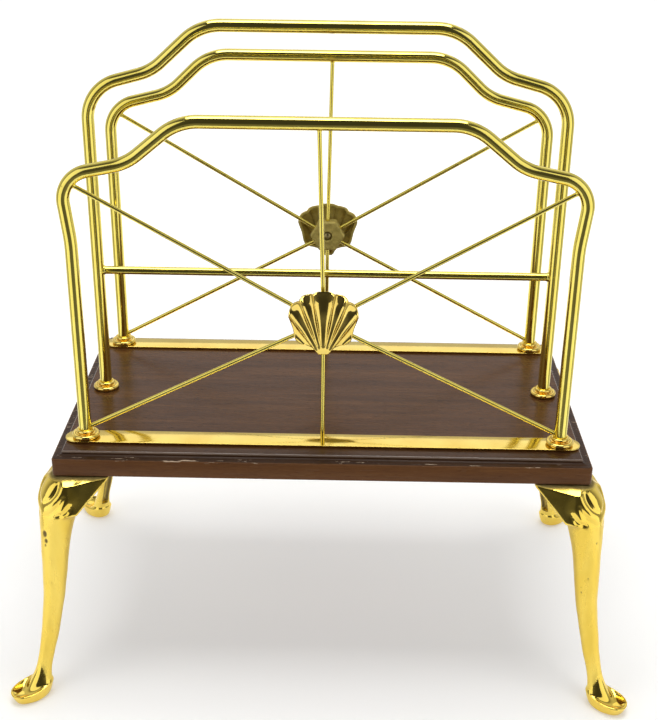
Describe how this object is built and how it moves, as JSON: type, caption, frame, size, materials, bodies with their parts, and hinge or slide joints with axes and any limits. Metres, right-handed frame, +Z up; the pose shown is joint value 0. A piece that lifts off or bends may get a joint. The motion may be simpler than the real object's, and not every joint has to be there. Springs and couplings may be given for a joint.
{
  "type": "magazine rack",
  "caption": "Magazine rack: a moulded wooden base on cabriole legs, bent tube dividers that make two bays, and spoked end frames with scallop shell bosses.",
  "frame": {"origin": "on the floor, under the middle of the base board", "axes": "+Z up, +X along the length of the board to the right, -Y towards the front, where the lower of the two spoked frames stands"},
  "size_m": [0.484, 0.306, 0.5022],
  "materials": {
    "mahogany": "dark reddish brown with a satin lacquer",
    "polished_brass": "polished",
    "cast_brass": "cast, satin on the shaft and polished on the knee and the foot",
    "rough_brass": "as cast, rough and tarnished",
    "screw_steel": "plain"
  },
  "bodies": {
    "root": {"base_board": "mahogany", "front_strip": "polished_brass", "back_strip": "polished_brass", "front_frame": "polished_brass", "middle_frame": "polished_brass", "back_frame": "polished_brass", "middle_cross_bar": "polished_brass", "front_left_flange": "polished_brass", "front_right_flange": "polished_brass", "middle_left_flange": "polished_brass", "middle_right_flange": "polished_brass", "back_left_flange": "polished_brass", "back_right_flange": "polished_brass", "front_spoke_top": "polished_brass", "front_spoke_upper_right": "polished_brass", "front_spoke_lower_right": "polished_brass", "front_spoke_bottom": "polished_brass", "front_spoke_lower_left": "polished_brass", "front_spoke_upper_left": "polished_brass", "back_spoke_top": "polished_brass", "back_spoke_upper_right": "polished_brass", "back_spoke_lower_right": "polished_brass", "back_spoke_bottom": "polished_brass", "back_spoke_lower_left": "polished_brass", "back_spoke_upper_left": "polished_brass", "front_hub": "rough_brass", "back_hub": "rough_brass", "front_shell": "polished_brass", "back_shell": "polished_brass", "front_hub_screw": "screw_steel", "back_hub_screw": "screw_steel", "front_left_leg": "cast_brass", "front_right_leg": "cast_brass", "back_left_leg": "cast_brass", "back_right_leg": "cast_brass", "front_left_leg_screw_1": "screw_steel", "front_left_leg_screw_2": "screw_steel", "front_right_leg_screw_1": "screw_steel", "front_right_leg_screw_2": "screw_steel", "back_left_leg_screw_1": "screw_steel", "back_left_leg_screw_2": "screw_steel", "back_right_leg_screw_1": "screw_steel", "back_right_leg_screw_2": "screw_steel", "front_left_washer": "screw_steel", "front_right_washer": "screw_steel", "middle_left_washer": "screw_steel", "middle_right_washer": "screw_steel", "back_left_washer": "screw_steel", "back_right_washer": "screw_steel", "front_left_frame_screw": "screw_steel", "front_right_frame_screw": "screw_steel", "middle_left_frame_screw": "screw_steel", "middle_right_frame_screw": "screw_steel", "back_left_frame_screw": "screw_steel", "back_right_frame_screw": "screw_steel"}
  },
  "joints": []
}
